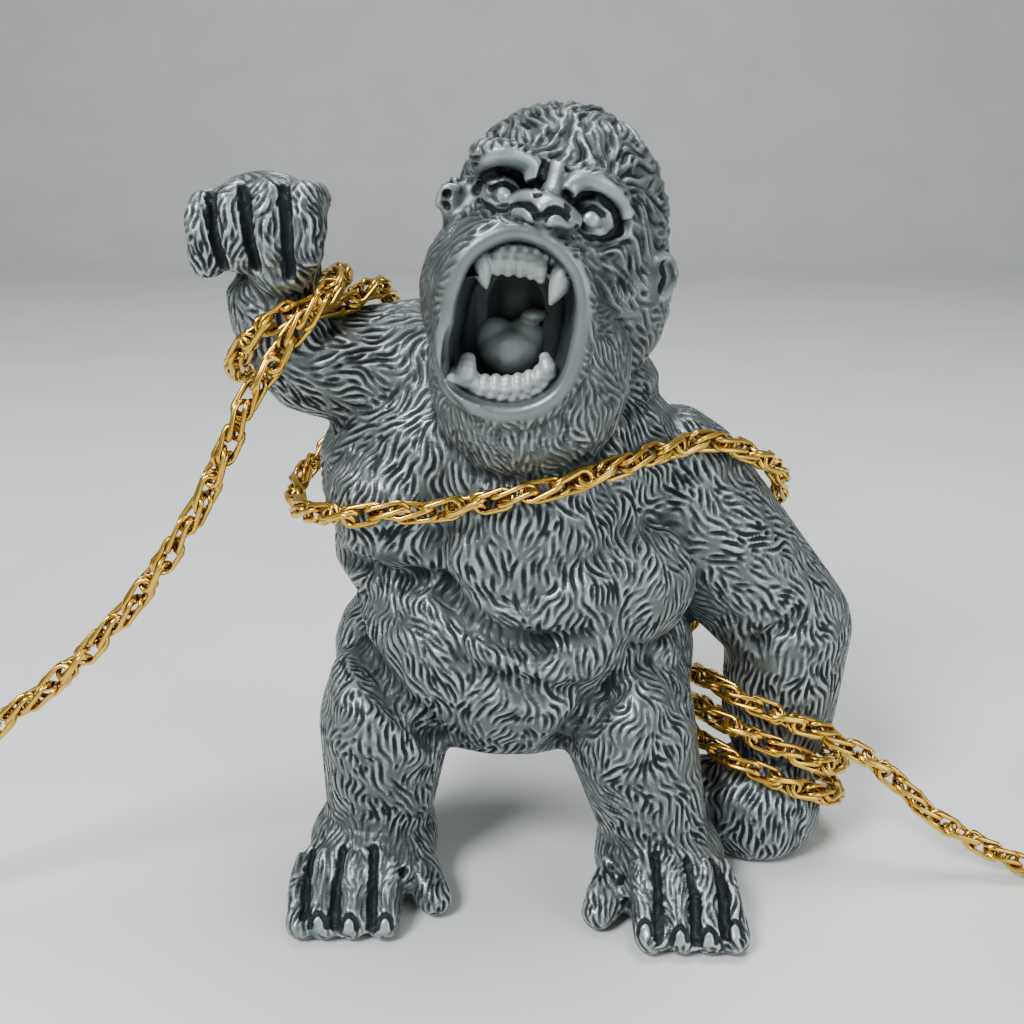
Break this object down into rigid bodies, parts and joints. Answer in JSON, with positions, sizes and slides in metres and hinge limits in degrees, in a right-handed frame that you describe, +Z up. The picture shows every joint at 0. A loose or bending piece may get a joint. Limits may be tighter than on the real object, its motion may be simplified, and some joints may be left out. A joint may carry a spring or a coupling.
{
  "type": "animal figurine",
  "caption": "Standing roaring gorilla ornament in silver-brushed dark resin, one fist raised, with a gold rope chain wound round both wrists and across the chest.",
  "frame": {"origin": "on the ground under the middle of the gorilla's own box, without the chain", "axes": "+Z up, -Y towards the viewer whom the gorilla faces, +X to the viewer's right, which is the gorilla's left"},
  "size_m": [0.3659, 0.0738, 0.1492],
  "materials": {
    "painted_resin": "dark blue-grey with silver brushed on the raised hair, satin",
    "tongue": "silver-grey, satin",
    "teeth": "bright silver-grey, satin",
    "dowel_steel": "plain steel",
    "pad_rubber": "matte",
    "gold_chain": "polished gold plating",
    "gold_fitting": "polished gold plating"
  },
  "bodies": {
    "figurine": {"torso": "painted_resin", "head": "painted_resin", "right_arm": "painted_resin", "left_arm": "painted_resin", "right_fist": "painted_resin", "left_fist": "painted_resin", "right_leg": "painted_resin", "left_leg": "painted_resin", "right_foot": "painted_resin", "left_foot": "painted_resin", "tongue": "tongue", "upper_teeth": "teeth", "lower_teeth": "teeth", "neck_dowel": "dowel_steel", "right_shoulder_dowel": "dowel_steel", "left_shoulder_dowel": "dowel_steel", "right_wrist_dowel": "dowel_steel", "left_wrist_dowel": "dowel_steel", "right_hip_dowel": "dowel_steel", "left_hip_dowel": "dowel_steel", "right_ankle_dowel": "dowel_steel", "left_ankle_dowel": "dowel_steel", "right_sole_pad": "pad_rubber", "left_sole_pad": "pad_rubber", "fist_pad": "pad_rubber", "chain_left_coil": "gold_chain", "chain_left_run": "gold_chain", "chain_raised_winding": "gold_chain", "chain_body_run": "gold_chain", "chain_lowered_winding": "gold_chain", "chain_right_run": "gold_chain", "chain_right_coil": "gold_chain", "clasp_body": "gold_fitting", "clasp_pin": "gold_fitting", "clasp_ring": "gold_fitting", "end_ring": "gold_fitting"},
    "lever": {"clasp_lever": "gold_fitting"}
  },
  "joints": [
    {"name": "clasp_lever_hinge", "type": "hinge", "parent": "figurine", "child": "lever", "pos_m": [-0.17402, -0.00184, 0.0019], "axis": [0, 0, 1], "range_deg": [0, 25], "stiffness_Nm_per_rad": 0.001, "springref_deg": -11.46}
  ]
}
